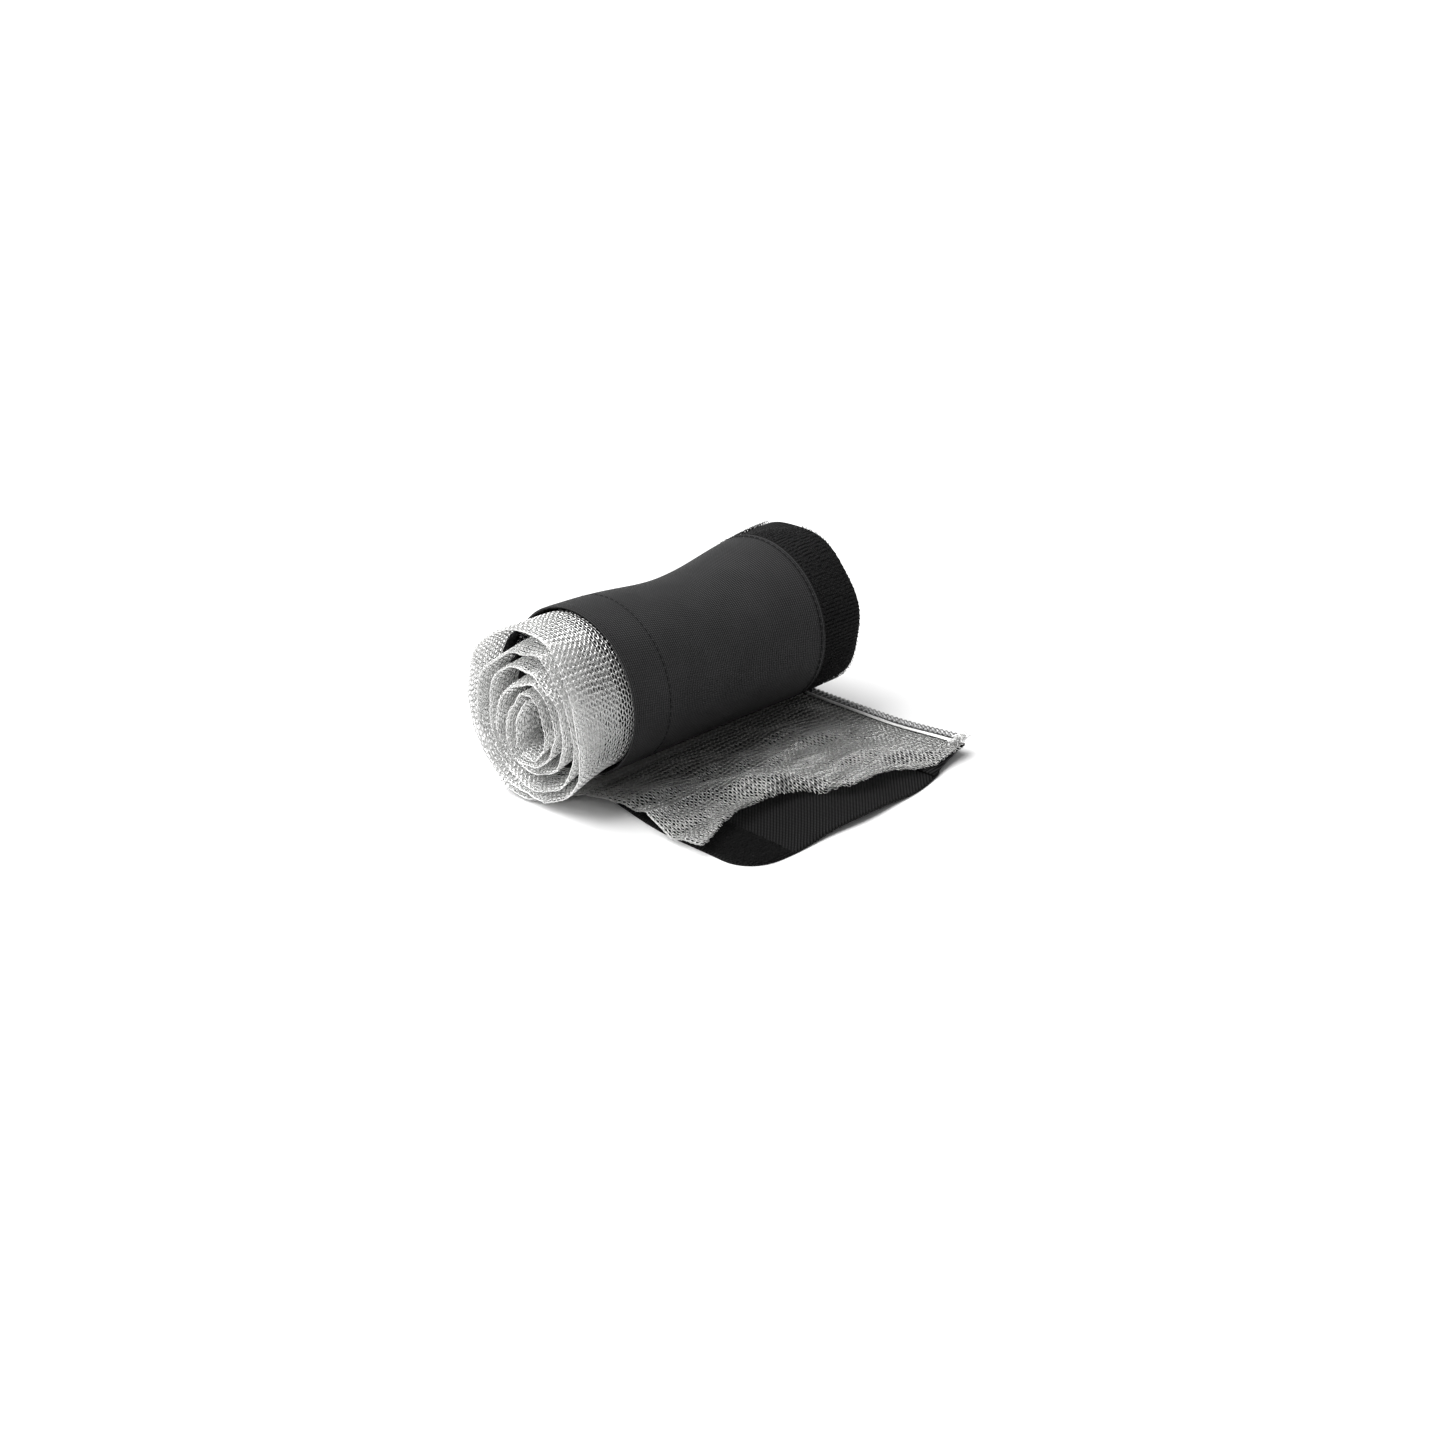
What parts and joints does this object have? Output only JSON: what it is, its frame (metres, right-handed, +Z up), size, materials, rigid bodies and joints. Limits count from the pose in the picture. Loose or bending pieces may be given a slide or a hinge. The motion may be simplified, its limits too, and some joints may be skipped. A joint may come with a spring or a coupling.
{
  "type": "rolled sleeve wrap with wire mesh liner",
  "caption": "Partly unrolled strip of black woven cover cloth with a knitted wire mesh liner and hook and loop tapes along its edges, its free end lying flat as a tail.",
  "frame": {"origin": "underside of the roll, below its axis, in the middle of the cover's width", "axes": "+X along the strip towards the tail's free end, +Y along the roll's axis towards the hook tape, +Z up"},
  "size_m": [0.1651, 0.181, 0.0879],
  "materials": {
    "cover": "matt",
    "wire_mesh": "bright",
    "hook_tape": "satin",
    "loop_tape": "matt",
    "edge_cord": "bright",
    "edge_band": "bright",
    "black_thread": "satin",
    "grey_thread": "satin"
  },
  "bodies": {
    "roll": {"cover_roll": "cover", "wire_mesh_roll": "wire_mesh", "hook_tape_second_length": "hook_tape", "hook_tape_roll": "hook_tape", "loop_tape_roll": "loop_tape", "edge_cord_roll": "edge_cord", "edge_band_roll": "edge_band", "hook_seam_thread_roll": "black_thread", "loop_seam_thread_roll": "black_thread", "edge_seam_thread_roll": "grey_thread"},
    "tail": {"cover_tail": "cover", "wire_mesh_tail": "wire_mesh", "hook_tape_tail": "hook_tape", "loop_tape_tail": "loop_tape", "edge_cord_tail": "edge_cord", "edge_band_tail": "edge_band", "loop_seam_thread_tail": "black_thread", "edge_seam_thread_tail": "grey_thread"},
    "tail_end": {"cover_tail_end": "cover", "wire_mesh_tail_end": "wire_mesh", "hook_tape_tail_end": "hook_tape", "loop_tape_tail_end": "loop_tape", "edge_cord_tail_end": "edge_cord", "edge_band_tail_end": "edge_band", "loop_seam_thread_tail_end": "black_thread", "edge_seam_thread_tail_end": "grey_thread"}
  },
  "joints": [
    {"name": "tail_lift", "type": "hinge", "parent": "roll", "child": "tail", "pos_m": [0.022, 0, 0.0064], "axis": [0, -1, 0], "range_deg": [0, 45]},
    {"name": "tail_curl", "type": "hinge", "parent": "tail", "child": "tail_end", "pos_m": [0.068, 0, 0.0064], "axis": [0, -1, 0], "range_deg": [0, 60]}
  ]
}
